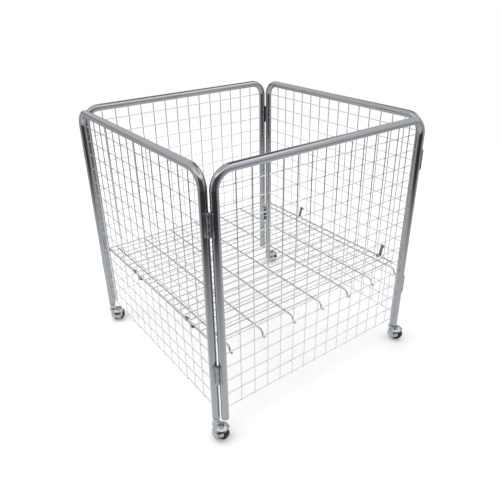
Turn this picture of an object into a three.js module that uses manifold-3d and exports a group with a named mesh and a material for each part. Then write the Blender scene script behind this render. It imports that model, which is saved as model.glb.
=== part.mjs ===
// Square wire dump bin on castors: four hinged tube-and-mesh panels with a wire base hung inside them.
// Millimetres, +Z up, floor at z = 0. The front panel faces -Y and the right panel faces +X.
import * as THREE from "three";
import { mergeVertices } from "three/addons/utils/BufferGeometryUtils.js";
import Module from "manifold-3d";

const wasm = await Module();
wasm.setup();

// Tube frames of the panels.
const LEG_SPACING = 620; // centre to centre of one panel's two legs
const TUBE_RADIUS = 9.5;
const TUBE_BORE = 8;
const TUBE_SIDES = 12;
const BEND_RADIUS = 40;
const BEND_STEPS = 6;
const CORNER_STEP = 16; // how far a panel's plane stands outside its neighbour's leg centre
const LEG_END_Z = 64;
const RAIL_Z = 686;

// Plastic inserts in the leg ends.
const INSERT_RADIUS = 7.2;
const FLANGE_Z = 60; // underside of the flange that closes the leg's end
const FLANGE_CHAMFER = 1;
const PLUG_TOP_Z = 86;
const SOCKET_TOP_Z = 104;

// Welded mesh of the panels.
const WIRE = 2.7;
const WELD_WIRE = 3.6; // border wires, thick enough to meet the wires that cross them
const PITCH = 40;
const UPRIGHTS = 14;
const LEVELS = 15;
const MESH_BOTTOM_Z = 90;
const LAYER_OFFSET = 1.5;

// Corner hinges.
const HINGE_LENGTH = 52;
const HINGE_CENTRES_Z = { upper: 578, lower: 200 };
const BARREL_RADIUS = 5;
const PIN_RADIUS = 2.2;
const PIN_BORE = 2.6;
const PIN_TAIL = 1.5; // below the bottom knuckle
const PIN_HEAD = { radius: 3.6, crown: 2, rim: 1.2, height: 2.2 };
const KNUCKLE_SIDES = 8;
const HINGE_GAP = 0.4; // from the leaves and barrels to the tubes
const LEAF_THICKNESS = 1.9;
const LEAF_START = THREE.MathUtils.degToRad(20);
const LEAF_TAB = THREE.MathUtils.degToRad(26);
const LEAF_WRAP = THREE.MathUtils.degToRad(46);

// Wire base and its clips.
const BASE_Z = 262;
const BEARER = 4.4;
const EDGE_WIRE = 5.2;
const BEARER_PITCH = 95;
const BEARERS = 7;
const EDGE_X = 310;
const DECK_FRONT_Y = -288;
const DECK_BACK_Y = 300;
const DECK_WIRES = 23;
const DECK_WELD = 0.6; // how much deeper the first and last deck wires are, to meet the bearers
const OVERHANG = 4; // of the bearers and side wires past the last deck wire
const HOOK_LEVEL = 4;
const HOOK_RADIUS = 4.7;
const HOOK_DROP = 1; // straight part between the bearer's bend and its hook
const CLIP_LEVEL = 5;
const CLIP_WIDTH = 10;
const CLIP_THICKNESS = 1.8;
const CLIP_PLACES = { left: [-200, 80], right: [-240, 120] };
const CLIP_SLACK = 0.4; // behind the wire that the clip hooks over
const CLIP_TAIL = 6;
const CLIP_SEAT_OUT = 5;
const CLIP_SEAT_IN = 4.6;
const CLIP_LIP = 2;
const MITRE_LIMIT = 0.5;

// Castors.
const WHEEL_RADIUS = 20.5;
const WHEEL_SIDES = 18;
const TRAIL = 14;
const HOOD_INNER = 22.7;
const HOOD_OUTER = 23.9;
const HOOD_TILT = THREE.MathUtils.degToRad(30);
const HOOD_SIDES = 14;
const HOOD_STEPS = 5;
const HOOD_LAP = 0.05; // how far the collar reaches into the shell
const BALL_RINGS = 8;
const HOOD_RIM = THREE.MathUtils.degToRad(82);
const EAR_RADIUS = 7;
const EAR_THICKNESS = 2.2;
const EAR_INSET = 1.6;
const AXLE_RADIUS = 2.5;
const AXLE_BORE = 2.9;
const AXLE_SIDES = 8;
const AXLE_LENGTH = 2 * HOOD_INNER + 1;
const STEM_RADIUS = 4;
const STEM_BORE = 4.3;
const STEM_LOW_Z = 56;
const STEM_TOP_Z = 100;
const COLLAR_LOW_Z = 36;
const COLLAR_TOP_RADIUS = 8.5;
const COLLAR_LOW_RADIUS = 12;
const DOME = [[8, 13.6], [12, 11]]; // radius and half width of the hub
const DOME_HALF_WIDTH = 14.5;
const TYRE_DEPTH = 7.3;
const TYRE_HALF_WIDTH = 8.5;
const TREAD_HALF_WIDTH = 5;
const SHOULDER = 3;
const CASTOR_HEADINGS = { front_left: -70, back_left: -20, front_right: -80, back_right: -50 };

const GAP = 0.3; // between pieces that touch
const CUT_PAST = 5; // how far a bore is cut past the end of its piece
const HALF = LEG_SPACING / 2;
const PLANE = HALF + CORNER_STEP;
const INNER_LAYER = PLANE - LAYER_OFFSET;
const OUTER_LAYER = PLANE + LAYER_OFFSET;
const UPRIGHT_SPAN = (UPRIGHTS - 1) * PITCH;

function metal(colour, roughness) {
  return new THREE.MeshStandardMaterial({ color: colour, metalness: 1, roughness });
}

function plastic(colour, roughness) {
  return new THREE.MeshStandardMaterial({ color: colour, metalness: 0, roughness });
}

// Closed solid of a geometry, ready to be joined or cut.
function solid(geometry) {
  const bare = new THREE.BufferGeometry();
  const source = geometry.index ? geometry.toNonIndexed() : geometry;
  bare.setAttribute("position", source.getAttribute("position"));
  const merged = mergeVertices(bare, 1e-4);
  return new wasm.Manifold(
    new wasm.Mesh({
      numProp: 3,
      vertProperties: new Float32Array(merged.attributes.position.array),
      triVerts: new Uint32Array(merged.index.array),
    }),
  );
}

function geometryOf(body) {
  const mesh = body.getMesh();
  const geometry = new THREE.BufferGeometry();
  const points = new Float32Array(mesh.vertProperties);
  geometry.setAttribute("position", new THREE.BufferAttribute(points, 3));
  geometry.setIndex(new THREE.BufferAttribute(new Uint32Array(mesh.triVerts), 1));
  geometry.computeVertexNormals();
  return geometry;
}

function join(geometries) {
  return wasm.Manifold.union(geometries.map(solid));
}

function box(x, y, z, sizeX, sizeY, sizeZ) {
  return new THREE.BoxGeometry(sizeX, sizeY, sizeZ).translate(x, y, z);
}

// Upright cylinder between two heights.
function post(x, y, low, high, radius, sides) {
  const bar = new THREE.CylinderGeometry(radius, radius, high - low, sides);
  return bar.rotateX(Math.PI / 2).translate(x, y, (low + high) / 2);
}

// Solid of revolution about Z from [radius, z] points.
function turned(points, sides) {
  const profile = points.map(([radius, z]) => new THREE.Vector2(radius, z));
  return new THREE.LatheGeometry(profile, sides).rotateX(Math.PI / 2);
}

function ring(points, sides) {
  return turned([...points, points[0]], sides);
}

function circle(radius, sides) {
  const shape = new THREE.Shape();
  for (let i = 0; i < sides; i += 1) {
    const turn = ((i + 0.5) / sides) * 2 * Math.PI;
    const x = radius * Math.cos(turn);
    const y = radius * Math.sin(turn);
    if (i === 0) shape.moveTo(x, y);
    else shape.lineTo(x, y);
  }
  shape.closePath();
  return shape;
}

function square(size) {
  const shape = new THREE.Shape();
  const h = size / 2;
  shape.moveTo(-h, -h);
  shape.lineTo(h, -h);
  shape.lineTo(h, h);
  shape.lineTo(-h, h);
  shape.closePath();
  return shape;
}

// Route of a bent bar through stations, each a point with the bar's direction there.
class Route extends THREE.Curve {
  constructor(stations) {
    super();
    this.stations = stations;
  }

  between(t) {
    const place = t * (this.stations.length - 1);
    const first = Math.min(Math.floor(place), this.stations.length - 2);
    return [this.stations[first], this.stations[first + 1], place - first];
  }

  getPoint(t, target = new THREE.Vector3()) {
    const [a, b, share] = this.between(t);
    return target.lerpVectors(a.point, b.point, share);
  }

  getTangent(t, target = new THREE.Vector3()) {
    const [a, b, share] = this.between(t);
    return target.lerpVectors(a.way, b.way, share).normalize();
  }

  getPointAt(u, target) {
    return this.getPoint(u, target);
  }

  getTangentAt(u, target) {
    return this.getTangent(u, target);
  }
}

function station(point, way) {
  return { point, way: way.clone().normalize() };
}

// Stations round part of a circle that lies in the plane of the vectors across and up.
function arc(centre, across, up, radius, from, to, steps) {
  const found = [];
  for (let i = 0; i <= steps; i += 1) {
    const turn = from + ((to - from) * i) / steps;
    const side = Math.sign(to - from);
    const point = centre.clone();
    point.addScaledVector(across, radius * Math.cos(turn));
    point.addScaledVector(up, radius * Math.sin(turn));
    const way = across.clone().multiplyScalar(-Math.sin(turn) * side);
    way.addScaledVector(up, Math.cos(turn) * side);
    found.push(station(point, way));
  }
  return found;
}

function bar(section, stations) {
  return new THREE.ExtrudeGeometry(section, {
    steps: stations.length - 1,
    extrudePath: new Route(stations),
    bevelEnabled: false,
  });
}

const X = new THREE.Vector3(1, 0, 0);
const Y = new THREE.Vector3(0, 1, 0);
const Z = new THREE.Vector3(0, 0, 1);
const DOWN = new THREE.Vector3(0, 0, -1);

const bin = new THREE.Group();
const chromeTube = () => metal(0xc4c8cc, 0.1);
const chromeWire = () => metal(0xb4b8bd, 0.25);
const hingeSteel = () => metal(0x9da1a6, 0.25);
const pinSteel = () => metal(0xb4b8bd, 0.2);
const clipSteel = () => metal(0x8d9196, 0.25);
const hoodChrome = () => metal(0xc4c8cc, 0.12);
const hubChrome = () => metal(0xc4c8cc, 0.15);
const greyPlastic = () => plastic(0x9a9da0, 0.6);
const tyreRubber = () => plastic(0x141415, 0.7);

function add(group, name, body, material) {
  const mesh = new THREE.Mesh(geometryOf(body), material);
  mesh.name = name;
  group.add(mesh);
}

// Inverted U of hollow tube: two legs, two bends and the top rail, open at the leg ends.
function tubeFrame() {
  const bendZ = RAIL_Z - BEND_RADIUS;
  const bendX = HALF - BEND_RADIUS;
  const left = new THREE.Vector3(-bendX, -PLANE, bendZ);
  const right = new THREE.Vector3(bendX, -PLANE, bendZ);
  const quarter = Math.PI / 2;
  const route = (legEnd) => [
    station(new THREE.Vector3(-HALF, -PLANE, legEnd), Z),
    ...arc(left, X, Z, BEND_RADIUS, Math.PI, quarter, BEND_STEPS),
    ...arc(right, X, Z, BEND_RADIUS, quarter, 0, BEND_STEPS),
    station(new THREE.Vector3(HALF, -PLANE, legEnd), DOWN),
  ];
  const tube = solid(bar(circle(TUBE_RADIUS, TUBE_SIDES), route(LEG_END_Z)));
  const bore = solid(bar(circle(TUBE_BORE, TUBE_SIDES), route(LEG_END_Z - CUT_PAST)));
  return tube.subtract(bore);
}

// Wire mesh inside a frame: level wires in the inner layer, uprights in the outer layer.
function wireMesh() {
  const wires = [];
  const reachX = HALF - TUBE_RADIUS - 3 * GAP; // the top wire meets the bends
  const topZ = RAIL_Z - TUBE_RADIUS - GAP;
  const lowZ = MESH_BOTTOM_Z - WIRE / 2;
  for (let i = 0; i < UPRIGHTS; i += 1) {
    const x = i * PITCH - UPRIGHT_SPAN / 2;
    const depth = i === 0 ? WELD_WIRE : WIRE;
    wires.push(box(x, -OUTER_LAYER, (lowZ + topZ) / 2, WIRE, depth, topZ - lowZ));
  }
  for (let i = 0; i < LEVELS; i += 1) {
    const depth = i === 0 ? WELD_WIRE : WIRE;
    const z = MESH_BOTTOM_Z + i * PITCH;
    wires.push(box(0, -INNER_LAYER, z, 2 * reachX, depth, WIRE));
  }
  return join(wires);
}

// Hinge axis at the front right corner, in the outer groove between the two tubes.
const ownTube = new THREE.Vector2(HALF, -PLANE);
const nextTube = new THREE.Vector2(PLANE, -HALF);
const tubeReach = TUBE_RADIUS + BARREL_RADIUS + HINGE_GAP;
const halfStep = CORNER_STEP / Math.SQRT2;
const AXIS = HALF + CORNER_STEP / 2 + Math.sqrt(tubeReach ** 2 - halfStep ** 2) / Math.SQRT2;
const axisPoint = new THREE.Vector2(AXIS, -AXIS);

// Plate that hugs a tube between two heights, from one angle past the hinge axis to another.
function wrap(tube, from, to, steps, low, high) {
  const start = axisPoint.clone().sub(tube).angle();
  const inner = TUBE_RADIUS + HINGE_GAP;
  const outer = inner + LEAF_THICKNESS;
  const rim = [];
  const back = [];
  for (let i = 0; i <= steps; i += 1) {
    const turn = start + from + ((to - from) * i) / steps;
    const way = new THREE.Vector2(Math.cos(turn), Math.sin(turn));
    rim.push(way.clone().multiplyScalar(outer).add(tube));
    back.unshift(way.clone().multiplyScalar(inner).add(tube));
  }
  const shape = new THREE.Shape([...rim, ...back]);
  const plate = new THREE.ExtrudeGeometry(shape, { depth: high - low, bevelEnabled: false });
  return plate.translate(0, 0, low);
}

function knuckle(low, high) {
  return post(AXIS, -AXIS, low, high, BARREL_RADIUS, KNUCKLE_SIDES);
}

function pinHole(low, high) {
  return solid(post(AXIS, -AXIS, low - CUT_PAST, high + CUT_PAST, PIN_BORE, KNUCKLE_SIDES));
}

// Leaf on the panel's own right leg, with a knuckle at each end.
function outerLeaf(centreZ) {
  const low = centreZ - HINGE_LENGTH / 2;
  const high = centreZ + HINGE_LENGTH / 2;
  const third = HINGE_LENGTH / 3;
  const leaf = join([
    wrap(ownTube, -LEAF_START, -LEAF_WRAP, 2, low, high),
    wrap(ownTube, 0, -LEAF_TAB, 1, low, low + third - GAP),
    wrap(ownTube, 0, -LEAF_TAB, 1, high - third + GAP, high),
    knuckle(low, low + third - GAP),
    knuckle(high - third + GAP, high),
  ]);
  return leaf.subtract(pinHole(low, high));
}

// Leaf on the next panel's left leg, with the middle knuckle.
function middleLeaf(centreZ) {
  const low = centreZ - HINGE_LENGTH / 2;
  const high = centreZ + HINGE_LENGTH / 2;
  const third = HINGE_LENGTH / 3;
  const leaf = join([
    wrap(nextTube, LEAF_START, LEAF_WRAP, 2, low, high),
    wrap(nextTube, 0, LEAF_TAB, 1, low + third, high - third),
    knuckle(low + third, high - third),
  ]);
  return leaf.subtract(pinHole(low, high));
}

function hingePin(centreZ) {
  const low = centreZ - HINGE_LENGTH / 2 - PIN_TAIL;
  const top = centreZ + HINGE_LENGTH / 2 + GAP;
  const profile = [
    [0, low],
    [PIN_RADIUS, low],
    [PIN_RADIUS, top],
    [PIN_HEAD.radius, top],
    [PIN_HEAD.radius, top + PIN_HEAD.rim],
    [PIN_HEAD.crown, top + PIN_HEAD.height],
    [0, top + PIN_HEAD.height],
  ];
  return solid(turned(profile, KNUCKLE_SIDES).translate(AXIS, -AXIS, 0));
}

// Push-in plug that closes a leg with no castor.
function legPlug(x) {
  const profile = [
    [0, FLANGE_Z],
    [TUBE_RADIUS - FLANGE_CHAMFER, FLANGE_Z],
    [TUBE_RADIUS, FLANGE_Z + FLANGE_CHAMFER],
    [TUBE_RADIUS, LEG_END_Z - GAP],
    [INSERT_RADIUS, LEG_END_Z - GAP],
    [INSERT_RADIUS, PLUG_TOP_Z],
    [0, PLUG_TOP_Z],
  ];
  return solid(turned(profile, TUBE_SIDES).translate(x, -PLANE, 0));
}

const panels = [
  { name: "front", turn: 0, corner: "front_right" },
  { name: "right", turn: Math.PI / 2, corner: "back_right" },
  { name: "back", turn: Math.PI, corner: "back_left" },
  { name: "left", turn: -Math.PI / 2, corner: "front_left" },
];

for (const panel of panels) {
  const group = new THREE.Group();
  group.rotation.z = panel.turn;
  bin.add(group);
  add(group, panel.name + "_tube", tubeFrame(), chromeTube());
  add(group, panel.name + "_mesh", wireMesh(), chromeWire());
  for (const [level, centreZ] of Object.entries(HINGE_CENTRES_Z)) {
    const hinge = "hinge_" + panel.corner + "_" + level;
    add(group, hinge + "_outer_leaf", outerLeaf(centreZ), hingeSteel());
    add(group, hinge + "_middle_leaf", middleLeaf(centreZ), hingeSteel());
    add(group, hinge + "_pin", hingePin(centreZ), pinSteel());
  }
  if (panel.name === "front" || panel.name === "back") {
    add(group, panel.name + "_plug_left", legPlug(-HALF), greyPlastic());
    add(group, panel.name + "_plug_right", legPlug(HALF), greyPlastic());
  }
}

// Bearer of the base: straight along Y, its front end hooked round a level wire of the front mesh.
function bearer(x) {
  const hookZ = MESH_BOTTOM_Z + HOOK_LEVEL * PITCH;
  const drop = BASE_Z - hookZ;
  const bend = drop - HOOK_DROP;
  const hookY = -INNER_LAYER;
  const bendCentre = new THREE.Vector3(x, hookY + HOOK_RADIUS + bend, BASE_Z - bend);
  const wireCentre = new THREE.Vector3(x, hookY, hookZ);
  const quarter = Math.PI / 2;
  const stations = [
    station(new THREE.Vector3(x, DECK_BACK_Y + OVERHANG, BASE_Z), Y.clone().negate()),
    ...arc(bendCentre, Y, Z, bend, quarter, Math.PI, 4),
    ...arc(wireCentre, Y, Z, HOOK_RADIUS, 0, -Math.PI, 6),
  ];
  return bar(square(BEARER), stations);
}

// Base: bearers and double side wires below, thin deck wires across them on top.
function base() {
  const wires = [];
  for (let i = 0; i < BEARERS; i += 1) {
    wires.push(bearer((i - (BEARERS - 1) / 2) * BEARER_PITCH));
  }
  const depth = DECK_BACK_Y - DECK_FRONT_Y;
  const middleY = (DECK_FRONT_Y + DECK_BACK_Y) / 2;
  for (const x of [-EDGE_X, EDGE_X]) {
    wires.push(box(x, middleY, BASE_Z, BEARER, depth + 2 * OVERHANG, EDGE_WIRE));
  }
  const deckLow = BASE_Z + BEARER / 2 + GAP;
  for (let i = 0; i < DECK_WIRES; i += 1) {
    const y = DECK_FRONT_Y + (depth * i) / (DECK_WIRES - 1);
    const border = i === 0 || i === DECK_WIRES - 1;
    const low = border ? deckLow - DECK_WELD : deckLow;
    const high = deckLow + WIRE;
    wires.push(box(0, y, (low + high) / 2, 2 * EDGE_X + BEARER, WIRE, high - low));
  }
  return join(wires);
}

add(bin, "base_shelf", base(), chromeWire());

// Outline of a bent strip of even thickness along a line of points.
function strip(points, thickness) {
  const left = [];
  const right = [];
  points.forEach((point, i) => {
    const before = points[Math.max(i - 1, 0)];
    const after = points[Math.min(i + 1, points.length - 1)];
    const inWay = point.clone().sub(before).normalize();
    const outWay = after.clone().sub(point).normalize();
    const way = inWay.clone().add(outWay).normalize();
    const lead = i === 0 ? outWay : inWay;
    const half = thickness / 2 / Math.max(way.dot(lead), MITRE_LIMIT);
    const side = new THREE.Vector2(-way.y, way.x).multiplyScalar(half);
    left.push(point.clone().add(side));
    right.unshift(point.clone().sub(side));
  });
  return new THREE.Shape([...left, ...right]);
}

// Clip on a side mesh: hooked over a level wire, sloping in under the base's edge, with a small lip.
function clip(sign, y) {
  const wireZ = MESH_BOTTOM_Z + CLIP_LEVEL * PITCH;
  const clear = WIRE / 2 + GAP + CLIP_THICKNESS / 2;
  const footZ = BASE_Z - EDGE_WIRE / 2 - GAP - CLIP_THICKNESS / 2;
  const points = [
    [INNER_LAYER + clear + CLIP_SLACK, wireZ - CLIP_TAIL],
    [INNER_LAYER + clear + CLIP_SLACK, wireZ + clear],
    [INNER_LAYER - clear, wireZ + clear],
    [EDGE_X + CLIP_SEAT_OUT, footZ],
    [EDGE_X - CLIP_SEAT_IN, footZ],
    [EDGE_X - CLIP_SEAT_IN, BASE_Z + CLIP_LIP],
  ].map(([x, z]) => new THREE.Vector2(sign * x, z));
  const plate = new THREE.ExtrudeGeometry(strip(points, CLIP_THICKNESS), {
    depth: CLIP_WIDTH,
    bevelEnabled: false,
  });
  return solid(plate.rotateX(Math.PI / 2).translate(0, y + CLIP_WIDTH / 2, 0));
}

for (const [side, places] of Object.entries(CLIP_PLACES)) {
  const sign = side === "left" ? -1 : 1;
  places.forEach((y, i) => {
    const name = "clip_" + side + "_" + (i === 0 ? "front" : "rear");
    add(bin, name, clip(sign, y), clipSteel());
  });
}

// Insert in a leg that takes the castor's stem.
function castorSocket() {
  const profile = [
    [STEM_BORE, FLANGE_Z],
    [TUBE_RADIUS - FLANGE_CHAMFER, FLANGE_Z],
    [TUBE_RADIUS, FLANGE_Z + FLANGE_CHAMFER],
    [TUBE_RADIUS, LEG_END_Z - GAP],
    [INSERT_RADIUS, LEG_END_Z - GAP],
    [INSERT_RADIUS, SOCKET_TOP_Z],
    [STEM_BORE, SOCKET_TOP_Z],
  ];
  return solid(ring(profile, TUBE_SIDES));
}

// Wheel centre of a castor whose stem stands on the Z axis and whose wheel trails along +X.
const WHEEL_AT = [TRAIL, 0, WHEEL_RADIUS];

// Hood: part of a ball shell over the wheel, with the stem's collar, two ears and the axle between them.
function castorHood() {
  const outer = [];
  const inner = [];
  for (let i = 0; i <= HOOD_STEPS; i += 1) {
    const turn = (HOOD_RIM * i) / HOOD_STEPS;
    outer.push([HOOD_OUTER * Math.sin(turn), HOOD_OUTER * Math.cos(turn)]);
    inner.unshift([HOOD_INNER * Math.sin(turn), HOOD_INNER * Math.cos(turn)]);
  }
  outer[0][0] = 0;
  inner[HOOD_STEPS][0] = 0;
  const shell = turned([...inner.reverse(), ...outer.reverse()], HOOD_SIDES);
  shell.rotateY(-HOOD_TILT).translate(...WHEEL_AT);
  const collarTop = FLANGE_Z - GAP;
  const height = collarTop - COLLAR_LOW_Z;
  const collar = new THREE.CylinderGeometry(COLLAR_TOP_RADIUS, COLLAR_LOW_RADIUS, height, TUBE_SIDES);
  collar.rotateX(Math.PI / 2).translate(0, 0, (collarTop + COLLAR_LOW_Z) / 2);
  const stem = post(0, 0, STEM_LOW_Z, STEM_TOP_Z, STEM_RADIUS, TUBE_SIDES);
  const axle = new THREE.CylinderGeometry(AXLE_RADIUS, AXLE_RADIUS, AXLE_LENGTH, AXLE_SIDES);
  axle.translate(...WHEEL_AT);
  const ears = [-1, 1].map((side) => {
    const ear = new THREE.CylinderGeometry(EAR_RADIUS, EAR_RADIUS, EAR_THICKNESS, TUBE_SIDES);
    return ear.translate(0, side * (HOOD_OUTER - EAR_INSET), 0).translate(...WHEEL_AT);
  });
  const ball = new THREE.SphereGeometry(HOOD_INNER - HOOD_LAP, HOOD_SIDES, BALL_RINGS);
  const room = solid(ball.translate(...WHEEL_AT));
  return join([collar, stem]).subtract(room).add(join([shell, axle, ...ears]));
}

// Turns a solid of revolution so that its axle lies along Y, with a flat facet down at the floor.
function onAxle(geometry) {
  const halfFacet = Math.PI / WHEEL_SIDES;
  return geometry.rotateZ(halfFacet).rotateX(-Math.PI / 2).translate(...WHEEL_AT);
}

const TREAD = WHEEL_RADIUS / Math.cos(Math.PI / WHEEL_SIDES);
const HUB = TREAD - TYRE_DEPTH;

// Hub of two shallow domes, back to back, turned about the axle.
function castorWheel() {
  const near = [[AXLE_BORE, DOME_HALF_WIDTH], ...DOME, [HUB, TYRE_HALF_WIDTH]];
  const far = near.map(([radius, width]) => [radius, -width]);
  return solid(onAxle(ring([...far, ...near.reverse()], WHEEL_SIDES)));
}

function castorTyre() {
  const profile = [
    [HUB + GAP, -TYRE_HALF_WIDTH],
    [TREAD - SHOULDER, -TYRE_HALF_WIDTH],
    [TREAD, -TREAD_HALF_WIDTH],
    [TREAD, TREAD_HALF_WIDTH],
    [TREAD - SHOULDER, TYRE_HALF_WIDTH],
    [HUB + GAP, TYRE_HALF_WIDTH],
  ];
  return solid(onAxle(ring(profile, WHEEL_SIDES)));
}

const STEMS = {
  front_left: [-PLANE, -HALF],
  back_left: [-PLANE, HALF],
  front_right: [PLANE, -HALF],
  back_right: [PLANE, HALF],
};

for (const [corner, [x, y]] of Object.entries(STEMS)) {
  const group = new THREE.Group();
  group.position.set(x, y, 0);
  group.rotation.z = THREE.MathUtils.degToRad(CASTOR_HEADINGS[corner]);
  bin.add(group);
  const name = "castor_" + corner;
  add(group, name + "_socket", castorSocket(), greyPlastic());
  add(group, name + "_hood", castorHood(), hoodChrome());
  add(group, name + "_wheel", castorWheel(), hubChrome());
  add(group, name + "_tyre", castorTyre(), tyreRubber());
}

// The origin is on the floor under the middle of the whole bin, castors included.
const bounds = new THREE.Box3().setFromObject(bin, true);
const middle = bounds.getCenter(new THREE.Vector3());
bin.position.set(-middle.x, -middle.y, 0);

export default bin;
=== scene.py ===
"""Looks of a square wire dump bin on ball castors: chrome tube, welded wire, hinges, base, clips and castors.

Lengths are written in millimetres in the bin's own frame, whose middle lies between the four panels.
"""

import math

import bmesh
import bpy
import numpy as np
from mathutils import Matrix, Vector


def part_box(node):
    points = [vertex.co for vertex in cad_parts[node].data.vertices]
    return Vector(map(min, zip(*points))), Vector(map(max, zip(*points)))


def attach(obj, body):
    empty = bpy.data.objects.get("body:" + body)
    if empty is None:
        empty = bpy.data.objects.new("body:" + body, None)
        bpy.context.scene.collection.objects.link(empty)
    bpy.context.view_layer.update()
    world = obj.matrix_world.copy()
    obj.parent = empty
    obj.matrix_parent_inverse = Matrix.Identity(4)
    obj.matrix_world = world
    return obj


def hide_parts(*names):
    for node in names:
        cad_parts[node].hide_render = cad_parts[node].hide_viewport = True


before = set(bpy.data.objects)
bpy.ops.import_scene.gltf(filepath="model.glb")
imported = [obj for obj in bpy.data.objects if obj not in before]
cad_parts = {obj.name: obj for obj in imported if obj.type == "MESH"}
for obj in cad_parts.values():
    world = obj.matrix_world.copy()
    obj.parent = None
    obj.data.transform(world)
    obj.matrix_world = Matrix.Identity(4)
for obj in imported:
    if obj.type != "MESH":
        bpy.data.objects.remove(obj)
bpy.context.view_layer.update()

X_AXIS = np.array((1.0, 0.0, 0.0))
Y_AXIS = np.array((0.0, 1.0, 0.0))
Z_AXIS = np.array((0.0, 0.0, 1.0))
MM_PER_M = 1000.0
GAP = 0.3

# Panels: quarter turns from the front, and the corner on the panel's right, which holds its hinges
PANELS = {
    "front": (0, "front_right"),
    "right": (1, "back_right"),
    "back": (2, "back_left"),
    "left": (3, "front_left"),
}

# Tube frames
HALF = 310.0
PLANE = 326.0
TUBE_RADIUS = 9.5
TUBE_BORE = 8.0
TUBE_BEVEL = 0.6
TUBE_SIDES = 40
BEND_RADIUS = 40.0
LEG_END_Z = 64.0
RAIL_Z = 686.0

# Welded mesh
WIRE_RADIUS = 1.35
WIRE_SIDES = 12
PITCH = 40.0
UPRIGHTS = 14
LEVELS = 15
MESH_BOTTOM_Z = 90.0
LAYER = 1.3
WELD_DEPTH = 1.0
CROSSING_BEAD = (1.75, 1.1, 1.75)
LEVEL_END_BEAD = (2.0, 2.0, 2.2)
UPRIGHT_END_BEAD = (2.1, 2.0, 1.8)
UPRIGHT_BEAD_DROP = 0.6

# Hinges: the barrel stands clear of both tubes, on the diagonal between them
HINGE_LENGTH = 52.0
HINGE_HEIGHTS = {"upper": 578.0, "lower": 200.0}
BARREL_RADIUS = 5.0
BARREL_CLEARANCE = 0.4
KNUCKLE_ROUNDING = 0.9
LEAF_THICKNESS = 1.9
LEAF_START = math.radians(21)
LEAF_WRAP = math.radians(46)
TONGUE_WRAP = math.radians(26)
LEAF_CORNER = 0.7
STRIP_BEVEL = 0.4
TUBES_MIDDLE = (HALF + PLANE) / 2
TUBES_HALF_GAP = (PLANE - HALF) / math.sqrt(2)
TUBE_TO_BARREL = TUBE_RADIUS + BARREL_RADIUS + BARREL_CLEARANCE
HINGE_AXIS = TUBES_MIDDLE + math.sqrt(TUBE_TO_BARREL ** 2 - TUBES_HALF_GAP ** 2) / math.sqrt(2)
PIN_RADIUS = 2.2
PIN_FOOT = 1.5
PIN_HEAD_RADIUS = 3.6
PIN_HEAD_TOP_RADIUS = 3.4
PIN_HEAD_SIDE = 1.8
PIN_HEAD_HEIGHT = 2.2
PIN_ROUNDING = 0.8

# Leg inserts
FLANGE_HEIGHT = 4.0
INSERT_RADIUS = 7.2
INSERT_ROUNDING = 1.0
PLUG_DEPTH = 22.0
SOCKET_DEPTH = 40.0
SOCKET_BORE = 4.3

# Base
BASE_Z = 262.0
BEARERS = 7
BEARER_RADIUS = 2.2
BEARER_SIDES = 14
BEARER_BEVEL = 0.7
BEARER_PITCH = 95.0
EDGE_X = 310.0
DECK_FRONT_Y = -288.0
DECK_BACK_Y = 300.0
DECK_WIRES = 23
DECK_RADIUS = 1.35
DECK_WELD = 0.2
DECK_OVERHANG = 2.0
BEARER_OVERHANG = 4.0
DECK_BEAD = (2.0, 1.8, 1.0)
LEVEL_WIRE_OFFSET = 1.5
HOOK_Z = MESH_BOTTOM_Z + 4 * PITCH
HOOK_Y = -(PLANE - LEVEL_WIRE_OFFSET)
HOOK_RADIUS = 4.7
HOOK_RISE = 1.0

# Clips
CLIP_Z = MESH_BOTTOM_Z + 5 * PITCH
CLIP_WIDTH = 10.0
CLIP_THICKNESS = 1.8
CLIP_CORNER = 0.5
CLIP_BEND = 2.4
CLIP_TAIL = 6.0
CLIP_TAIL_FLARE = 0.4
CLIP_SEAT_DEPTH = 2.6
CLIP_SEAT_OUTER = 5.0
CLIP_SEAT_INNER = 4.6
CLIP_LIP = 2.0
CLIP_PLACES = {"left": (-1, -200.0, 80.0), "right": (1, -240.0, 120.0)}

# Castors: each one's leg and its heading in degrees
CASTORS = {
    "front_left": (-PLANE, -HALF, -70.0),
    "back_left": (-PLANE, HALF, -20.0),
    "front_right": (PLANE, -HALF, -80.0),
    "back_right": (PLANE, HALF, -50.0),
}
WHEEL_RADIUS = 20.5
TRAIL = 14.0
HOOD_INNER = 22.6
HOOD_OUTER = 23.9
HOOD_TILT = math.radians(30)
HOOD_RIM = math.radians(82)
BELL_TOP_Z = LEG_END_Z - FLANGE_HEIGHT - GAP
BELL_OUTLINE = ((0, 36), (6, 36), (12, 36), (11.6, 41), (8.9, 49), (8.5, BELL_TOP_Z), (0, BELL_TOP_Z))
BELL_ROUNDING = 2.4
BELL_SEAT_RADIUS = 23.4
STEM_RADIUS = 4.0
STEM_ROOT = 2.0
STEM_REACH = 36.0
STEM_ROUNDING = 1.0
EAR_OUTLINE = ((0, 21.2), (7, 21.2), (7, 23.2), (3.4, 23.6), (3, 24.3), (0, 24.5))
EAR_ROUNDING = 0.6
AXLE_RADIUS = 2.5
HUB_OUTLINE = ((3, 14.5), (6, 14.1), (8.6, 13.2), (9, 12.6), (9.8, 12.5), (12.2, 10.4), (13.5, 8.5))
HUB_ROUNDING = 0.8
TYRE_BORE = 13.8
TYRE_SHOULDERS = ((TYRE_BORE, 8.5), (17.8, 8.5), (20.3, 5.6))
TYRE_ROUNDING = 1.6

# Floor, in metres, with the greys of painted shade that a mirror sees on it at its near and far radius
FLOOR_RADIUS = 2.6
FLOOR_SIDES = 96
FLOOR_NEAR, FLOOR_FAR = 0.5, 1.55
FLOOR_BRIGHT, FLOOR_SIDE, FLOOR_DIM = 0.82, 0.45, 0.05

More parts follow.
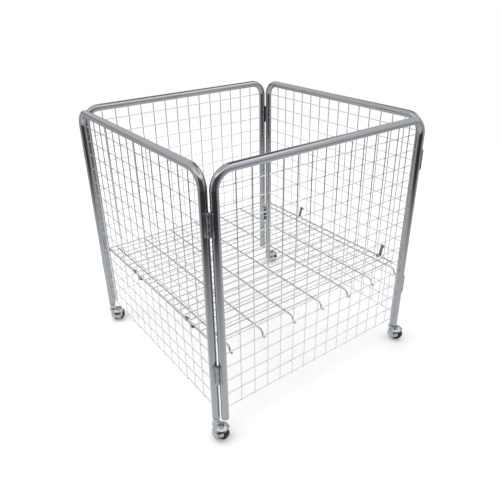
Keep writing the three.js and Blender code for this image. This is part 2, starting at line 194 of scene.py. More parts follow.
# Studio: each mask is an axis and the two dot products between which it rises from 0 to 1
OPEN_SIDE = (-0.59, -0.807, 0.0)
TOWARDS_LIMITS, AWAY_LIMITS = (0.35, 0.85), (-0.6, -0.9)
SKY_LOW, SKY_HIGH, SKY_RISE = 0.7, 1.15, 0.7
MIRRORED_LOW, MIRRORED_TOP = 0.92, 0.8
BAND_HEIGHT, BAND_HALF_WIDTH, BAND_LIFT = 0.7, 0.2, 0.9
BAND_MASKS = ((Y_AXIS, (0.45, 0.2)), (X_AXIS, (0.8, 0.55)))
FRONT_SCREEN = ((OPEN_SIDE, TOWARDS_LIMITS), (Z_AXIS, (0.75, 0.5)))
BACK_SCREEN = ((OPEN_SIDE, (-0.3, -0.6)), (Z_AXIS, (0.3, 0.12)))
RIGHT_SCREEN = (
    (X_AXIS, (0.25, 0.4)),
    (X_AXIS, (0.78, 0.58)),
    (Y_AXIS, (-0.05, 0.15)),
    (Y_AXIS, (0.72, 0.6)),
)
ROOM_SIDE, ROOM_DIM = 0.6, 0.1
HORIZON_LOW, HORIZON_HIGH = -0.02, 0.12

# Soft box, in metres and watts
LAMP_WIDTH, LAMP_LENGTH, LAMP_POWER = 0.5, 2.0, 12.0
LAMP_PLACE = (-1.2, 0.4, 2.2)
LAMP_TILT = math.radians(-28)

# Photograph's camera
CAMERA_PLACE = (-794.4, -1100.1, 1003.7)
CAMERA_AZIMUTH, CAMERA_ELEVATION, CAMERA_ROLL = np.radians((-36.19, 28.0, -0.91))
CAMERA_LENS, CAMERA_SENSOR = 37.05, 36.0


def middle_of_bin():
    """Where the middle of the four panels lies in the row frame, read off the front tube's box."""
    low, high = np.array(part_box("front_tube")) * MM_PER_M
    return np.array(((low[0] + high[0]) / 2, (low[1] + high[1]) / 2 + PLANE, 0.0))


MIDDLE = middle_of_bin()


def turned_about_z(grid, angle):
    """Every point turned about Z: x' = x cos a - y sin a, y' = x sin a + y cos a."""
    c, s = math.cos(angle), math.sin(angle)
    return grid @ np.array(((c, s, 0.0), (-s, c, 0.0), (0.0, 0.0, 1.0)))


def turned_about_y(grid, angle):
    """Every point turned about Y: x' = x cos a + z sin a, z' = z cos a - x sin a."""
    c, s = math.cos(angle), math.sin(angle)
    return grid @ np.array(((c, 0.0, -s), (0.0, 1.0, 0.0), (s, 0.0, c)))


def points_of(x, y, z):
    """Points from three coordinates, any of which may be one number for all."""
    return np.stack(np.broadcast_arrays(x, y, z), axis=-1).astype(float)


def quads_of(shape):
    """Corner numbers of the cells of stacked grids, each closed round its last direction."""
    stack, rows, columns = shape
    first = np.arange(stack * rows * columns).reshape(stack, rows, columns)
    beside = np.roll(first, -1, axis=2)
    cells = (first[:, :-1], beside[:, :-1], beside[:, 1:], first[:, 1:])
    return np.stack(cells, axis=-1).reshape(-1, 4)


def piece(name, grids, material, body, replaced):
    """One mesh from grids of points, put in the row frame, standing for a node and riding on its body."""
    points, quads, start = [], [], 0
    for grid in grids:
        stacked = grid.reshape((-1,) + grid.shape[-3:])
        points.append(stacked.reshape(-1, 3))
        quads.append(quads_of(stacked.shape[:3]) + start)
        start += len(points[-1])
    points = (np.concatenate(points) + MIDDLE) / MM_PER_M
    quads = np.concatenate(quads)
    mesh = bpy.data.meshes.new(name)
    mesh.vertices.add(len(points))
    mesh.vertices.foreach_set("co", points.ravel())
    mesh.loops.add(quads.size)
    mesh.loops.foreach_set("vertex_index", quads.ravel())
    mesh.polygons.add(len(quads))
    mesh.polygons.foreach_set("loop_start", np.arange(0, quads.size, 4))
    mesh.update(calc_edges=True)
    build = bmesh.new()
    build.from_mesh(mesh)
    bmesh.ops.remove_doubles(build, verts=build.verts, dist=1e-6)
    bmesh.ops.recalc_face_normals(build, faces=build.faces)
    build.to_mesh(mesh)
    build.free()
    mesh.shade_smooth()
    mesh.set_sharp_from_angle(angle=math.radians(42))
    mesh.materials.append(material)
    made = bpy.data.objects.new(name, mesh)
    bpy.context.scene.collection.objects.link(made)
    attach(made, body)
    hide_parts(replaced)


def along(path):
    """Unit direction of a path at each of its points, from the points on either side."""
    way = np.gradient(path, axis=0)
    return way / np.linalg.norm(way, axis=-1, keepdims=True)


def swept(spots, ways, across, profile, scale):
    """Rings of a profile: a point (u, v) stands at spot + scale (u (across x way) + v across)."""
    side = np.cross(across, ways)
    ring = profile[:, 0, None] * side[:, None, :] + profile[:, 1, None] * across
    return spots[:, None, :] + np.asarray(scale)[:, None, None] * ring


def with_bevels(path, bevel):
    """A path whose ends are doubled, the inner one of each pair a bevel away, and its directions."""
    way = along(path)
    start, stop = way[:1] * bevel, way[-1:] * bevel
    spots = np.concatenate((path[:1], path[:1] + start, path[1:-1], path[-1:] - stop, path[-1:]))
    ways = np.concatenate((way[:1], way, way[-1:]))
    return spots, ways


def carried(path, across, profile, bevel):
    """A profile swept along a flat path: each end shrinks by a bevel and closes at the path."""
    spots, ways = with_bevels(path, bevel)
    spots = np.concatenate((spots[:1], spots, spots[-1:]))
    ways = np.concatenate((ways[:1], ways, ways[-1:]))
    size = np.abs(profile).max()
    scale = np.ones(len(spots))
    scale[[0, -1]] = 0.0
    scale[[1, -2]] = (size - bevel) / size
    return swept(spots, ways, across, profile, scale)


def hollow(path, across, radius, bore, bevel, sides):
    """A round tube along a flat path, open at both ends: circles outside, then inside on the way back."""
    spots, ways = with_bevels(path, bevel)
    radii = np.full(len(spots), radius)
    radii[[0, -1]] = radius - bevel
    spots = np.concatenate((spots, path[::-1], spots[:1]))
    ways = np.concatenate((ways, along(path)[::-1], ways[:1]))
    radii = np.concatenate((radii, np.full(len(path), bore), radii[:1]))
    return swept(spots, ways, across, round_profile(1.0, sides), radii)


def round_profile(radius, sides):
    """Points of a circle: (r cos t, r sin t)."""
    turn = np.linspace(0, 2 * math.pi, sides, endpoint=False)
    return radius * np.stack((np.cos(turn), np.sin(turn)), axis=-1)


def strap_profile(thickness, width, corner):
    """Points of a rounded rectangle: each corner is a quarter circle of the corner radius."""
    turn = np.linspace(0, math.pi / 2, 4)
    quarters = turn[None, :] + np.arange(4)[:, None] * math.pi / 2
    sign_u = np.array((1, -1, -1, 1))[:, None]
    sign_v = np.array((1, 1, -1, -1))[:, None]
    u = sign_u * (thickness / 2 - corner) + corner * np.cos(quarters)
    v = sign_v * (width / 2 - corner) + corner * np.sin(quarters)
    return np.stack((u.ravel(), v.ravel()), axis=-1)


def arc(centre, across, up, radius, start, stop, count):
    """Points round part of a circle: centre + r (across cos t + up sin t)."""
    turn = np.linspace(start, stop, count)[:, None]
    return np.asarray(centre) + radius * (np.cos(turn) * across + np.sin(turn) * up)


def straight(start, stop, count):
    """Points evenly along a straight line from the start, without the stop."""
    start, stop = np.asarray(start, float), np.asarray(stop, float)
    return start + (stop - start) * np.linspace(0, 1, count)[:-1, None]


def rods(starts, stops, radius, sides, across):
    """Many straight round rods at once, each ring a circle across its rod, with bevelled closed ends."""
    span = stops - starts
    length = np.linalg.norm(span, axis=-1, keepdims=True)
    way = span / length
    bevel = radius * 0.3
    rings = ((0, 0, 0), (0, 0, 0.7), (0, bevel, 1), (1, -bevel, 1), (1, 0, 0.7), (1, 0, 0))
    reach = np.concatenate([share * length + step for share, step, _ in rings], axis=-1)
    scale = radius * np.array([size for _, _, size in rings])
    side = np.cross(across, way)
    circle = round_profile(1.0, sides)
    ring = circle[:, 0, None] * side[:, None, :] + circle[:, 1, None] * across
    spine = starts[:, None, :] + reach[..., None] * way[:, None, :]
    return spine[:, :, None, :] + scale[None, :, None, None] * ring[:, None, :, :]


def beads(centres, radii, rows=5, columns=8):
    """Many small ellipsoids at once: centre + (a sin p cos t, b sin p sin t, c cos p)."""
    polar = np.linspace(0, math.pi, rows)[:, None]
    turn = np.linspace(0, 2 * math.pi, columns, endpoint=False)
    ball = points_of(np.sin(polar) * np.cos(turn), np.sin(polar) * np.sin(turn), np.cos(polar))
    return centres[:, None, None, :] + ball * radii


def revolved(profile, sides):
    """A profile of (radius, height) points turned about Z: (r cos t, r sin t, z)."""
    turn = np.linspace(0, 2 * math.pi, sides, endpoint=False)
    r, z = profile[:, 0, None], profile[:, 1, None]
    return points_of(r * np.cos(turn), r * np.sin(turn), z)


def softened(corners, radius, count=5):
    """An open line whose inner corners are cut by quadratic curves that start a radius before each one."""
    corners = np.asarray(corners, float)
    before = corners[:-2] - corners[1:-1]
    after = corners[2:] - corners[1:-1]
    before_length = np.linalg.norm(before, axis=-1, keepdims=True)
    after_length = np.linalg.norm(after, axis=-1, keepdims=True)
    cut_before = np.minimum(radius, before_length * 0.45)
    cut_after = np.minimum(radius, after_length * 0.45)
    enter = corners[1:-1] + before / before_length * cut_before
    leave = corners[1:-1] + after / after_length * cut_after
    t = np.linspace(0, 1, count)[None, :, None]
    bend = (1 - t) ** 2 * enter[:, None] + 2 * t * (1 - t) * corners[1:-1, None] + t ** 2 * leave[:, None]
    return np.concatenate((corners[:1], bend.reshape(-1, corners.shape[1]), corners[-1:]))


def linear(code):
    """An sRGB hex colour as linear red, green, blue and 1."""
    parts = np.array([int(code[i:i + 2], 16) for i in (0, 2, 4)]) / 255.0
    low = parts / 12.92
    high = ((parts + 0.055) / 1.055) ** 2.4
    return (*np.where(parts <= 0.04045, low, high), 1.0)


def add_node(tree, kind, values=None, links=None, **settings):
    """Adds a node, sets its own settings and socket values, and links other nodes' outputs into it."""
    made = tree.nodes.new(kind)
    for key, value in settings.items():
        setattr(made, key, value)
    for key, value in (values or {}).items():
        made.inputs[key].default_value = value
    for key, (source, output) in (links or {}).items():
        tree.links.new(source.outputs[output], made.inputs[key])
    return made


def finish_of(name, colour, metallic, rough, blotch_mm, grain_mm, grain_height_mm):
    """A surface whose roughness drifts between two values in blotches, with a fine grain in its height.

    rough is (lowest, highest) roughness; a noise of size s mm has the scale 1000 / s on Object metres. The
    real grain of plating is finer than a tenth of a millimetre, so it is drawn coarser here to show at all.
    """
    material = bpy.data.materials.new(name)
    material.use_nodes = True
    tree = material.node_tree
    tree.nodes.clear()
    place = add_node(tree, "ShaderNodeTexCoord")
    blotch = add_node(
        tree,
        "ShaderNodeTexNoise",
        {"Scale": MM_PER_M / blotch_mm, "Detail": 3.0},
        {"Vector": (place, "Object")},
    )
    drift = add_node(
        tree,
        "ShaderNodeMapRange",
        {"From Min": 0.3, "From Max": 0.7, "To Min": rough[0], "To Max": rough[1]},
        {"Value": (blotch, "Fac")},
    )
    grain = add_node(
        tree,
        "ShaderNodeTexNoise",
        {"Scale": MM_PER_M / grain_mm, "Detail": 2.0},
        {"Vector": (place, "Object")},
    )
    bump = add_node(
        tree,
        "ShaderNodeBump",
        {"Strength": 0.5, "Distance": grain_height_mm / MM_PER_M},
        {"Height": (grain, "Fac")},
    )
    shader = add_node(
        tree,
        "ShaderNodeBsdfPrincipled",
        {"Base Color": linear(colour), "Metallic": metallic},
        {"Roughness": (drift, "Result"), "Normal": (bump, "Normal")},
    )
    add_node(tree, "ShaderNodeOutputMaterial", links={"Surface": (shader, "BSDF")})
    return material


# Bright chrome on drawn tube: mirror-like, with slow changes of gloss where it was polished.
chrome_tube = finish_of("bright_chrome_on_polished_tube", "adb0b4", 1.0, (0.04, 0.1), 60, 1.5, 0.002)
# Chrome over drawn wire, plated without polishing, so it is a little softer than the tube.
chrome_wire = finish_of("chrome_on_drawn_wire", "f0f2f3", 1.0, (0.16, 0.26), 30, 1.2, 0.006)
# Thicker drawn wire of the base, plated thinly, so it is greyer than the mesh.
base_wire = finish_of("thin_chrome_on_drawn_bearer", "c9ccce", 1.0, (0.18, 0.28), 30, 1.2, 0.006)
# Pressed steel with a thin plating: satin, with a fine grain left by the press.
pressed_steel = finish_of("plated_pressed_steel", "a4a8ac", 1.0, (0.2, 0.32), 12, 0.8, 0.01)
# Bent spring strip with a dull plating, darker than the wires around it.
clip_steel = finish_of("plated_spring_strip", "8f9397", 1.0, (0.22, 0.34), 8, 0.8, 0.01)
# Deep drawn castor shell, chrome plated: small sharp reflections, bright above and dark below.
castor_chrome = finish_of("chrome_on_drawn_shell", "b8bbbf", 1.0, (0.05, 0.12), 20, 1.0, 0.003)
# Moulded polypropylene insert: mid grey, with a faint sheen.
insert_plastic = finish_of("moulded_grey_polypropylene", "9a9da0", 0.0, (0.45, 0.6), 6, 0.5, 0.02)
# Moulded rubber tread: matt and nearly black.
tread_rubber = finish_of("moulded_rubber_tread", "18181a", 0.0, (0.6, 0.8), 5, 0.4, 0.03)


def tube_frame():
    """A tube carried up one leg, round a quarter bend, along the rail and down the other leg."""
    inner = HALF - BEND_RADIUS
    bend_z = RAIL_Z - BEND_RADIUS
    left = arc((-inner, -PLANE, bend_z), X_AXIS, Z_AXIS, BEND_RADIUS, math.pi, math.pi / 2, 25)
    right = arc((inner, -PLANE, bend_z), X_AXIS, Z_AXIS, BEND_RADIUS, math.pi / 2, 0, 25)
    rise = straight((-HALF, -PLANE, LEG_END_Z), left[0], 14)
    rail = straight(left[-1], right[0], 12)[1:]
    path = np.concatenate((rise, left, rail, right, rise[::-1] * (-1, 1, 1)))
    return hollow(path, Y_AXIS, TUBE_RADIUS, TUBE_BORE, TUBE_BEVEL, TUBE_SIDES)


def wire_mesh():
    """Level rods behind upright rods, a weld bead at every crossing and at every end on the tube."""
    level_z = MESH_BOTTOM_Z + PITCH * np.arange(LEVELS)
    upright_x = PITCH * (np.arange(UPRIGHTS) - (UPRIGHTS - 1) / 2)
    reach = HALF - TUBE_RADIUS + WELD_DEPTH
    top = RAIL_Z - TUBE_RADIUS + WELD_DEPTH
    right_ends = points_of(reach, -(PLANE - LAYER), level_z)
    left_ends = right_ends * (-1, 1, 1)
    feet = points_of(upright_x, -(PLANE + LAYER), MESH_BOTTOM_Z - WIRE_RADIUS)
    heads = points_of(upright_x, -(PLANE + LAYER), top)
    crossings = points_of(upright_x, -PLANE, level_z[:, None]).reshape(-1, 3)
    return [
        rods(left_ends, right_ends, WIRE_RADIUS, WIRE_SIDES, Z_AXIS),
        rods(feet, heads, WIRE_RADIUS, WIRE_SIDES, X_AXIS),
        beads(crossings, CROSSING_BEAD),
        beads(np.concatenate((right_ends, left_ends)), LEVEL_END_BEAD),
        beads(heads - (0, 0, UPRIGHT_BEAD_DROP), UPRIGHT_END_BEAD),
    ]


def hinge_strap(tube, turn_sign, start, stop, low, high):
    """A flat strap carried round the tube from one angle past the hinge axis to another."""
    face = math.atan2(-HINGE_AXIS - tube[1], HINGE_AXIS - tube[0])
    radius = TUBE_RADIUS + GAP + LEAF_THICKNESS / 2
    centre = (*tube, (low + high) / 2)
    path = arc(centre, X_AXIS, Y_AXIS, radius, face + turn_sign * start, face + turn_sign * stop, 14)
    return carried(path, Z_AXIS, strap_profile(LEAF_THICKNESS, high - low, LEAF_CORNER), STRIP_BEVEL)


def knuckle(low, high):
    """A short barrel round the hinge axis with small rounded edges."""
    corners = ((0, low), (BARREL_RADIUS, low), (BARREL_RADIUS, high), (0, high))
    return revolved(softened(corners, KNUCKLE_ROUNDING), 24) + (HINGE_AXIS, -HINGE_AXIS, 0)


def hinge_leaf(tube, turn_sign, spans, low, high):
    """A strap over the hinge's whole length, with a tongue and a knuckle over each of some spans."""
    grids = [hinge_strap(tube, turn_sign, LEAF_START, LEAF_WRAP, low, high)]
    for span in spans:
        grids += [hinge_strap(tube, turn_sign, 0, TONGUE_WRAP, *span), knuckle(*span)]
    return grids


def hinge_pin(low, high):
    """A pin with a low domed head, its lower end left proud."""
    foot, top = low - PIN_FOOT, high + GAP
    corners = (
        (0, foot),
        (PIN_RADIUS, foot),
        (PIN_RADIUS, top),
        (PIN_HEAD_RADIUS, top),
        (PIN_HEAD_TOP_RADIUS, top + PIN_HEAD_SIDE),
        (0, top + PIN_HEAD_HEIGHT),
    )
    return revolved(softened(corners, PIN_ROUNDING), 20) + (HINGE_AXIS, -HINGE_AXIS, 0)


def hinge(centre):
    """The leaf on a panel's own leg with two knuckles, the one on its neighbour's with one, and the pin."""
    low, high, third = centre - HINGE_LENGTH / 2, centre + HINGE_LENGTH / 2, HINGE_LENGTH / 3
    outer_spans = ((low, low + third - GAP), (high - third + GAP, high))
    middle_spans = ((low + third, high - third),)
    return {
        "_outer_leaf": hinge_leaf((HALF, -PLANE), -1, outer_spans, low, high),
        "_middle_leaf": hinge_leaf((PLANE, -HALF), 1, middle_spans, low, high),
        "_pin": [hinge_pin(low, high)],
    }


def leg_insert(bore, depth):
    """A flanged insert pushed into a leg: a stepped profile turned about the leg, solid where bore is 0."""
    foot, seat, top = LEG_END_Z - FLANGE_HEIGHT, LEG_END_Z - GAP, LEG_END_Z + depth
    corners = (
        (bore, foot),
        (TUBE_RADIUS, foot),
        (TUBE_RADIUS, seat),
        (INSERT_RADIUS, seat),
        (INSERT_RADIUS, top),
        (bore, top),
    )
    profile = softened(corners, INSERT_ROUNDING)
    if bore:
        profile = np.concatenate((profile, profile[:1]))
    return revolved(profile, 28)


for panel, (quarter, corner) in PANELS.items():
    angle = quarter * math.pi / 2
    tube = turned_about_z(tube_frame(), angle)
    piece(panel + "_tube_bent", [tube], chrome_tube, "frame", panel + "_tube")
    wires = [turned_about_z(grid, angle) for grid in wire_mesh()]
    piece(panel + "_mesh_welded", wires, chrome_wire, "frame", panel + "_mesh")
    for level, height in HINGE_HEIGHTS.items():
        for part, grids in hinge(height).items():
            placed = [turned_about_z(grid, angle) for grid in grids]
            name = "hinge_" + corner + "_" + level + part
            piece(name + "_shown", placed, pressed_steel, "frame", name)
    if panel in ("front", "back"):
        for side, x in (("left", -HALF), ("right", HALF)):
            plug = turned_about_z(leg_insert(0.0, PLUG_DEPTH) + (x, -PLANE, 0), angle)
            name = panel + "_plug_" + side
            piece(name + "_moulded", [plug], insert_plastic, "frame", name)


def bearer_path(x):
    """A bearer's line: straight from the back, a bend down at the front, then a hook round the mesh wire."""
    bend = BASE_Z - HOOK_Z - HOOK_RISE
    bend_centre = (x, HOOK_Y + HOOK_RADIUS + bend, BASE_Z - bend)
    down = arc(bend_centre, Y_AXIS, Z_AXIS, bend, math.pi / 2, math.pi, 14)
    hook = arc((x, HOOK_Y, HOOK_Z), Y_AXIS, Z_AXIS, HOOK_RADIUS, 0, -math.pi, 20)
    run = straight((x, DECK_BACK_Y + BEARER_OVERHANG, BASE_Z), down[0], 16)
    return np.concatenate((run, down, hook))


def base_shelf():
    """Hooked bearers and two edge rods along Y, deck rods across on top of them, a bead at each crossing."""
    bearer_x = BEARER_PITCH * (np.arange(BEARERS) - (BEARERS - 1) / 2)
    edge_x = np.array((-EDGE_X, EDGE_X))
    deck_y = np.linspace(DECK_FRONT_Y, DECK_BACK_Y, DECK_WIRES)
    deck_z = BASE_Z + BEARER_RADIUS + DECK_RADIUS - DECK_WELD
    wire = round_profile(BEARER_RADIUS, BEARER_SIDES)
    grids = [carried(bearer_path(x), X_AXIS, wire, BEARER_BEVEL) for x in bearer_x]
    edge_fronts = points_of(edge_x, DECK_FRONT_Y - BEARER_OVERHANG, BASE_Z)
    edge_backs = points_of(edge_x, DECK_BACK_Y + BEARER_OVERHANG, BASE_Z)
    grids.append(rods(edge_fronts, edge_backs, BEARER_RADIUS, BEARER_SIDES, X_AXIS))
    deck_ends = points_of(EDGE_X + DECK_OVERHANG, deck_y, deck_z)
    grids.append(rods(deck_ends * (-1, 1, 1), deck_ends, DECK_RADIUS, WIRE_SIDES, Z_AXIS))
    cross_x = np.concatenate((bearer_x, edge_x))
    crossings = points_of(cross_x, deck_y[:, None], BASE_Z + BEARER_RADIUS).reshape(-1, 3)
    grids.append(beads(crossings, DECK_BEAD))
    return grids


piece("base_shelf_welded", base_shelf(), base_wire, "base", "base_shelf")


def clip_strip(sign, y):
    """A strip carried over a side mesh wire, down and in under the base's edge, and up into a lip."""
    wire_x = PLANE - LEVEL_WIRE_OFFSET
    clear = WIRE_RADIUS + GAP + CLIP_THICKNESS / 2
    tail_x = wire_x + clear + CLIP_TAIL_FLARE
    lip_x = EDGE_X - CLIP_SEAT_INNER
    seat_z = BASE_Z - CLIP_SEAT_DEPTH - GAP - CLIP_THICKNESS / 2
    corners = (
        (tail_x, CLIP_Z - CLIP_TAIL),
        (tail_x, CLIP_Z + clear),
        (wire_x - clear, CLIP_Z + clear),
        (EDGE_X + CLIP_SEAT_OUTER, seat_z),
        (lip_x, seat_z),
        (lip_x, BASE_Z + CLIP_LIP),
    )
    line = softened(corners, CLIP_BEND, 7)
    path = points_of(sign * line[:, 0], y, line[:, 1])
    return carried(path, Y_AXIS, strap_profile(CLIP_THICKNESS, CLIP_WIDTH, CLIP_CORNER), STRIP_BEVEL)


for side, (sign, *places) in CLIP_PLACES.items():
    for end, y in zip(("front", "rear"), places):
        name = "clip_" + side + "_" + end
        piece(name + "_bent", [clip_strip(sign, y)], clip_steel, "frame", name)


def on_axle(grid):
    """A shape turned about Z laid on its axle along Y at the wheel's centre: (x, z, -y)."""
    return np.stack((grid[..., 0], grid[..., 2], -grid[..., 1]), axis=-1) + (TRAIL, 0, WHEEL_RADIUS)


def ball_shell():
    """A cap of a hollow ball with a rolled rim, tilted back over the wheel."""
    polar = np.linspace(0, HOOD_RIM, 26)
    outward = np.stack((np.sin(polar), np.cos(polar)), axis=-1)
    rim = np.array((*outward[-1], 0.0))
    past_rim = np.array((rim[1], -rim[0], 0.0))
    middle, half = (HOOD_OUTER + HOOD_INNER) / 2, (HOOD_OUTER - HOOD_INNER) / 2
    lip = arc(rim * middle, rim, past_rim, half, 0, math.pi, 7)[1:-1, :2]
    shell = revolved(np.concatenate((outward * HOOD_OUTER, lip, outward[::-1] * HOOD_INNER)), 48)
    return turned_about_y(shell, -HOOD_TILT) + (TRAIL, 0, WHEEL_RADIUS)


def bell():
    """The turned bell under the stem, its underside lifted to the ball: z = centre + sqrt(r^2 - d^2)."""
    grid = revolved(softened(BELL_OUTLINE, BELL_ROUNDING), 36)
    inside = BELL_SEAT_RADIUS ** 2 - (grid[..., 0] - TRAIL) ** 2 - grid[..., 1] ** 2
    grid[..., 2] = np.maximum(grid[..., 2], WHEEL_RADIUS + np.sqrt(np.maximum(inside, 0.0)))
    return grid


def castor_hood():
    """The ball shell, the bell and the stem above it, an ear on each side and the axle between them."""
    root, top = BELL_TOP_Z - STEM_ROOT, LEG_END_Z + STEM_REACH
    stem = softened(((0, root), (STEM_RADIUS, root), (STEM_RADIUS, top), (0, top)), STEM_ROUNDING)
    ear = on_axle(revolved(softened(EAR_OUTLINE, EAR_ROUNDING), 32))
    axle = np.array(((TRAIL, -HOOD_INNER, WHEEL_RADIUS),))
    return [
        ball_shell(),
        bell(),
        revolved(stem, 20),
        ear,
        ear * (1, -1, 1),
        rods(axle, axle * (1, -1, 1), AXLE_RADIUS, 20, Z_AXIS),
    ]


def castor_wheel():
    """Two shallow domes back to back with a groove round each, turned about the axle."""
    half = np.array(HUB_OUTLINE)
    corners = np.concatenate((half, half[::-1] * (1, -1), half[:1]))
    return on_axle(revolved(softened(corners, HUB_ROUNDING), 48))


def castor_tyre():
    """A thick tread with rounded shoulders, turned about the axle."""
    shoulders = np.array(TYRE_SHOULDERS)
    bore, tread = np.array(((TYRE_BORE, 0.0),)), np.array(((WHEEL_RADIUS, 0.0),))
    corners = np.concatenate((bore, shoulders, tread, shoulders[::-1] * (1, -1), bore))
    return on_axle(revolved(softened(corners, TYRE_ROUNDING), 64))


for corner, (x, y, heading) in CASTORS.items():
    castor = "castor_" + corner
    fork, roller = castor + "_fork", castor + "_roller"
    socket = leg_insert(SOCKET_BORE, SOCKET_DEPTH)
    for part, made_by, grids, material, body, slot in (
        ("_socket", "_moulded", [socket], insert_plastic, "frame", "grey_plastic"),
        ("_hood", "_drawn", castor_hood(), castor_chrome, fork, "castor_chrome"),
        ("_wheel", "_domed", [castor_wheel()], castor_chrome, roller, "castor_chrome"),
        ("_tyre", "_moulded", [castor_tyre()], tread_rubber, roller, "tyre_rubber"),
    ):
        stood = [turned_about_z(grid, math.radians(heading)) + (x, y, 0) for grid in grids]
        piece(castor + part + made_by, stood, material, body, castor + part)


def facing(tree, direction, axis, limits):
    """How far a direction points along an axis: 0 at the first dot product in limits, 1 at the second."""
    unit = add_node(tree, "ShaderNodeVectorMath", links={0: direction}, operation="NORMALIZE")
    dot = add_node(tree, "ShaderNodeVectorMath", {1: axis}, {0: (unit, "Vector")}, operation="DOT_PRODUCT")
    return add_node(
        tree,
        "ShaderNodeMapRange",
        {"From Min": limits[0], "From Max": limits[1]},
        {"Value": (dot, "Value")},
        interpolation_type="SMOOTHSTEP",
    )


def within(tree, direction, masks):
    """How far a direction lies within every mask: the product of its facing values."""
    share, *others = [facing(tree, direction, axis, limits) for axis, limits in masks]
    for other in others:
        share = add_node(tree, "ShaderNodeMath", links={0: (share, 0), 1: (other, 0)}, operation="MULTIPLY")
    return share


def floor_with_painted_reflection_shade():
    """Pale matt board that carries painted shade only in mirrors: greyer with distance, most of all to the
    open side and behind.

    The painted grey falls in a line from the near radius to the far one.
    """
    material = bpy.data.materials.new("pale_board_with_painted_reflection_shade")
    material.use_nodes = True
    tree = material.node_tree
    tree.nodes.clear()
    place = add_node(tree, "ShaderNodeTexCoord")
    reach = add_node(tree, "ShaderNodeVectorMath", links={0: (place, "Object")}, operation="LENGTH")
    towards = facing(tree, (place, "Object"), OPEN_SIDE, TOWARDS_LIMITS)
    away = facing(tree, (place, "Object"), OPEN_SIDE, AWAY_LIMITS)
    ends = add_node(tree, "ShaderNodeMath", links={0: (towards, 0), 1: (away, 0)}, operation="ADD")
    far = add_node(
        tree, "ShaderNodeMapRange", {"To Min": FLOOR_SIDE, "To Max": FLOOR_DIM}, {"Value": (ends, 0)}
    )
    fall = add_node(
        tree,
        "ShaderNodeMapRange",
        {"From Min": FLOOR_NEAR, "From Max": FLOOR_FAR, "To Min": FLOOR_BRIGHT},
        {"Value": (reach, "Value"), "To Max": (far, 0)},
    )
    grey = add_node(
        tree, "ShaderNodeCombineColor", links={"Red": (fall, 0), "Green": (fall, 0), "Blue": (fall, 0)}
    )
    # Painted shade: glossy rays see the floor in this falling grey instead of its pale colour
    path = add_node(tree, "ShaderNodeLightPath")
    reflected_shade_tone = add_node(
        tree,
        "ShaderNodeMix",
        {6: linear("fdfdfd")},
        {0: (path, "Is Glossy Ray"), 7: (grey, "Color")},
        data_type="RGBA",
    )
    shader = add_node(
        tree,
        "ShaderNodeBsdfPrincipled",
        {"Roughness": 0.9, "Specular IOR Level": 0.0},
        {"Base Color": (reflected_shade_tone, 2)},
    )
    add_node(tree, "ShaderNodeOutputMaterial", links={"Surface": (shader, "BSDF")})
    return material


def pale_floor():
    """A round pale floor that runs into the white behind."""
    rim = FLOOR_RADIUS * round_profile(1.0, FLOOR_SIDES)
    mesh = bpy.data.meshes.new("pale_floor")
    mesh.from_pydata(points_of(rim[:, 0], rim[:, 1], 0.0).tolist(), [], [list(range(FLOOR_SIDES))])
    mesh.materials.append(floor_with_painted_reflection_shade())
    floor = bpy.data.objects.new("pale_floor", mesh)
    bpy.context.scene.collection.objects.link(floor)
    return floor


pale_floor()


def mirrored_sky(tree, direction, height):
    """The sky that mirrors see: dimmer towards the top, with a bright band part of the way up.

    Dark screens stand on the open side, low behind the bin and on the bin's right. Where two of them
    meet, the larger cover counts.
    """
    plain = add_node(
        tree, "ShaderNodeMapRange", {"To Min": MIRRORED_LOW, "To Max": MIRRORED_TOP}, {"Value": height}
    )
    off = add_node(tree, "ShaderNodeMath", {1: BAND_HEIGHT}, {0: height}, operation="SUBTRACT")
    distance = add_node(tree, "ShaderNodeMath", links={0: (off, 0)}, operation="ABSOLUTE")
    band = add_node(
        tree,
        "ShaderNodeMapRange",
        {"From Max": BAND_HALF_WIDTH, "To Min": BAND_LIFT, "To Max": 0.0},
        {"Value": (distance, 0)},
        interpolation_type="SMOOTHSTEP",
    )
    sides = within(tree, direction, BAND_MASKS)
    strip = add_node(tree, "ShaderNodeMath", links={0: (band, 0), 1: (sides, 0)}, operation="MULTIPLY")
    bright = add_node(tree, "ShaderNodeMath", links={0: (plain, 0), 1: (strip, 0)}, operation="ADD")
    cover = within(tree, direction, FRONT_SCREEN)
    for masks in (BACK_SCREEN, RIGHT_SCREEN):
        screen = within(tree, direction, masks)
        cover = add_node(tree, "ShaderNodeMath", links={0: (cover, 0), 1: (screen, 0)}, operation="MAXIMUM")
    return add_node(tree, "ShaderNodeMix", {3: ROOM_DIM}, {0: (cover, 0), 2: (bright, 0)})


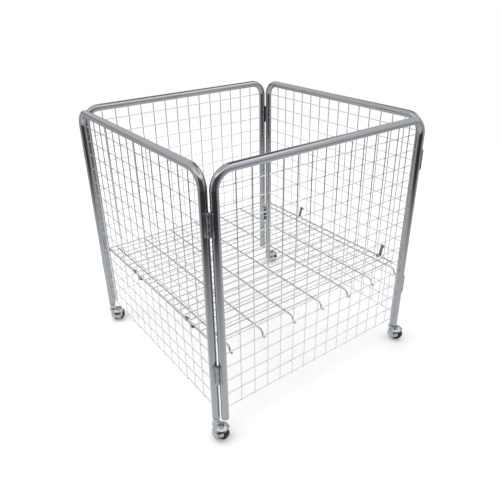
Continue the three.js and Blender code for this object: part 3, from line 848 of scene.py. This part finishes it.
def studio_world():
    """White to the camera, soft light from above the horizon, and a dim room below it past the floor."""
    world = bpy.data.worlds.new("soft_studio")
    bpy.context.scene.world = world
    world.use_nodes = True
    tree = world.node_tree
    tree.nodes.clear()
    place = add_node(tree, "ShaderNodeTexCoord")
    parts = add_node(tree, "ShaderNodeSeparateXYZ", links={"Vector": (place, "Generated")})
    direction, height = (place, "Generated"), (parts, "Z")
    path = add_node(tree, "ShaderNodeLightPath")
    lift = add_node(
        tree,
        "ShaderNodeMapRange",
        {"From Max": SKY_RISE, "To Min": SKY_LOW, "To Max": SKY_HIGH},
        {"Value": height},
    )
    mirrored = mirrored_sky(tree, direction, height)
    sky = add_node(
        tree, "ShaderNodeMix", links={0: (path, "Is Glossy Ray"), 2: (lift, 0), 3: (mirrored, 0)}
    )
    towards = facing(tree, direction, OPEN_SIDE, TOWARDS_LIMITS)
    room = add_node(
        tree, "ShaderNodeMapRange", {"To Min": ROOM_SIDE, "To Max": ROOM_DIM}, {"Value": (towards, 0)}
    )
    above = add_node(
        tree, "ShaderNodeMapRange", {"From Min": HORIZON_LOW, "From Max": HORIZON_HIGH}, {"Value": height}
    )
    level = add_node(tree, "ShaderNodeMix", links={0: (above, 0), 2: (room, 0), 3: (sky, 0)})
    lit = add_node(tree, "ShaderNodeBackground", {"Color": linear("ffffff")}, {"Strength": (level, 0)})
    white = add_node(tree, "ShaderNodeBackground", {"Color": linear("ffffff"), "Strength": 1.0})
    mix = add_node(
        tree, "ShaderNodeMixShader", links={0: (path, "Is Camera Ray"), 1: (lit, 0), 2: (white, 0)}
    )
    add_node(tree, "ShaderNodeOutputWorld", links={"Surface": (mix, 0)})


studio_world()


def soft_box():
    """A soft box high on the left, which lights the bin but isn't mirrored in it."""
    lamp = bpy.data.lights.new("soft_box", "AREA")
    lamp.shape = "RECTANGLE"
    lamp.size = LAMP_WIDTH
    lamp.size_y = LAMP_LENGTH
    lamp.energy = LAMP_POWER
    made = bpy.data.objects.new("soft_box", lamp)
    made.matrix_world = Matrix.Translation(LAMP_PLACE) @ Matrix.Rotation(LAMP_TILT, 4, "Y")
    made.visible_glossy = False
    bpy.context.scene.collection.objects.link(made)


soft_box()


def photo_camera():
    """The photograph's view: back points from the bin to the camera, and the roll tips right towards up."""
    right = turned_about_z(X_AXIS, CAMERA_AZIMUTH)
    level_back = turned_about_z(-Y_AXIS, CAMERA_AZIMUTH)
    back = level_back * math.cos(CAMERA_ELEVATION) + Z_AXIS * math.sin(CAMERA_ELEVATION)
    up = np.cross(back, right)
    across = right * math.cos(CAMERA_ROLL) + up * math.sin(CAMERA_ROLL)
    upward = up * math.cos(CAMERA_ROLL) - right * math.sin(CAMERA_ROLL)
    data = bpy.data.cameras.new("photo_camera")
    data.sensor_fit = "HORIZONTAL"
    data.sensor_width = CAMERA_SENSOR
    data.lens = CAMERA_LENS
    made = bpy.data.objects.new("photo_camera", data)
    turn = np.eye(4)
    turn[:3, :3] = np.stack((across, upward, back), axis=-1)
    turn[:3, 3] = (CAMERA_PLACE + MIDDLE) / MM_PER_M
    made.matrix_world = Matrix(turn.tolist())
    bpy.context.scene.collection.objects.link(made)
    bpy.context.scene.camera = made


photo_camera()
bpy.context.scene.view_settings.view_transform = "Standard"
